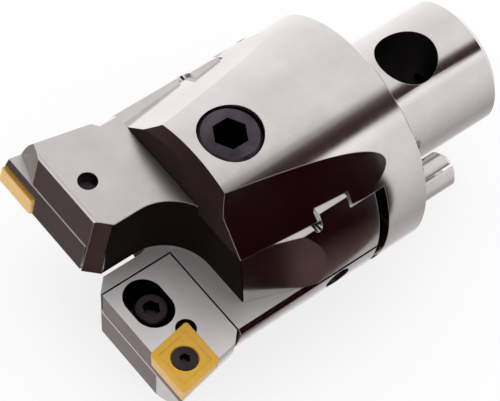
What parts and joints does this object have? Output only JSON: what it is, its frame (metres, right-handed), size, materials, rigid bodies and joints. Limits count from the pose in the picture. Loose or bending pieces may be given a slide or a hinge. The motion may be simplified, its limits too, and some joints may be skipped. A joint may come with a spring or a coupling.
{
  "type": "rough boring head",
  "caption": "Slotted round boring head with a coupling shank, opposed adjustable slides, insert cartridges and socket screws.",
  "frame": {"origin": "centre of the body's flat rear face, on the tool axis, where the shank starts", "axes": "+X along the tool axis towards the end of the shank, so the cutting end is at -X; Y is the slides' travel, slide_1 outward along +Y and slide_2 outward along -Y; Z is square to the rake faces, with slide_1 on the +Z side"},
  "size_m": [0.1167, 0.0728, 0.063],
  "materials": {
    "body_steel": "fine turned and ground steel, satin",
    "slide_steel": "ground steel, satin",
    "cartridge_steel": "ground steel, satin",
    "pin_steel": "smooth hardened steel",
    "nut_steel": "plain machined steel",
    "black_screw": "black oxide",
    "small_screw": "dark steel",
    "coated_carbide": "gold hard coating, half gloss"
  },
  "bodies": {
    "head": {"body": "body_steel", "drive_pin": "pin_steel", "stop_pin_1": "pin_steel", "stop_pin_2": "pin_steel", "clamp_nut_1": "nut_steel", "clamp_nut_2": "nut_steel"},
    "slide_1": {"slide_1": "slide_steel"},
    "cartridge_1": {"cartridge_1": "cartridge_steel", "insert_1": "coated_carbide"},
    "clamp_screw_1": {"clamp_screw_1": "black_screw"},
    "adjusting_screw_1": {"adjusting_screw_1": "black_screw"},
    "cartridge_screw_1": {"cartridge_screw_1": "black_screw"},
    "insert_screw_1": {"insert_screw_1": "small_screw"},
    "slide_2": {"slide_2": "slide_steel"},
    "cartridge_2": {"cartridge_2": "cartridge_steel", "insert_2": "coated_carbide"},
    "clamp_screw_2": {"clamp_screw_2": "black_screw"},
    "adjusting_screw_2": {"adjusting_screw_2": "black_screw"},
    "cartridge_screw_2": {"cartridge_screw_2": "black_screw"},
    "insert_screw_2": {"insert_screw_2": "small_screw"}
  },
  "joints": [
    {"name": "adjusting_screw_1_turn", "type": "hinge", "parent": "head", "child": "adjusting_screw_1", "pos_m": [-0.027, 0, 0.005], "axis": [0, -1, 0], "range_deg": [-901, 3061]},
    {"name": "slide_1_travel", "type": "slide", "parent": "head", "child": "slide_1", "axis": [0, 1, 0], "range_m": [-0.0025, 0.0085]},
    {"name": "cartridge_1_travel", "type": "slide", "parent": "slide_1", "child": "cartridge_1", "axis": [0, 1, 0], "range_m": [0, 0.0025]},
    {"name": "clamp_screw_1_turn", "type": "hinge", "parent": "head", "child": "clamp_screw_1", "pos_m": [-0.0404, 0, 0.0207], "axis": [0, 0, 1], "range_deg": [0, 360]},
    {"name": "cartridge_screw_1_turn", "type": "hinge", "parent": "slide_1", "child": "cartridge_screw_1", "pos_m": [-0.0711, 0.0136, 0.003], "axis": [0, 0, -1], "range_deg": [0, 360]},
    {"name": "insert_screw_1_turn", "type": "hinge", "parent": "cartridge_1", "child": "insert_screw_1", "pos_m": [-0.07315, 0.02903, 0.001], "axis": [0, 0, -1], "range_deg": [0, 360]},
    {"name": "adjusting_screw_2_turn", "type": "hinge", "parent": "head", "child": "adjusting_screw_2", "pos_m": [-0.027, 0, -0.005], "axis": [0, 1, 0], "range_deg": [-901, 3061]},
    {"name": "slide_2_travel", "type": "slide", "parent": "head", "child": "slide_2", "axis": [0, -1, 0], "range_m": [-0.0025, 0.0085]},
    {"name": "cartridge_2_travel", "type": "slide", "parent": "slide_2", "child": "cartridge_2", "axis": [0, -1, 0], "range_m": [0, 0.0025]},
    {"name": "clamp_screw_2_turn", "type": "hinge", "parent": "head", "child": "clamp_screw_2", "pos_m": [-0.0404, 0, -0.0207], "axis": [0, 0, -1], "range_deg": [0, 360]},
    {"name": "cartridge_screw_2_turn", "type": "hinge", "parent": "slide_2", "child": "cartridge_screw_2", "pos_m": [-0.0711, -0.0136, -0.003], "axis": [0, 0, 1], "range_deg": [0, 360]},
    {"name": "insert_screw_2_turn", "type": "hinge", "parent": "cartridge_2", "child": "insert_screw_2", "pos_m": [-0.07315, -0.02903, -0.001], "axis": [0, 0, 1], "range_deg": [0, 360]}
  ],
  "couplings": [
    {"joint": "adjusting_screw_1_turn", "follows": "slide_1_travel", "rad_per_m": 6283.2},
    {"joint": "adjusting_screw_2_turn", "follows": "slide_2_travel", "rad_per_m": 6283.2}
  ]
}
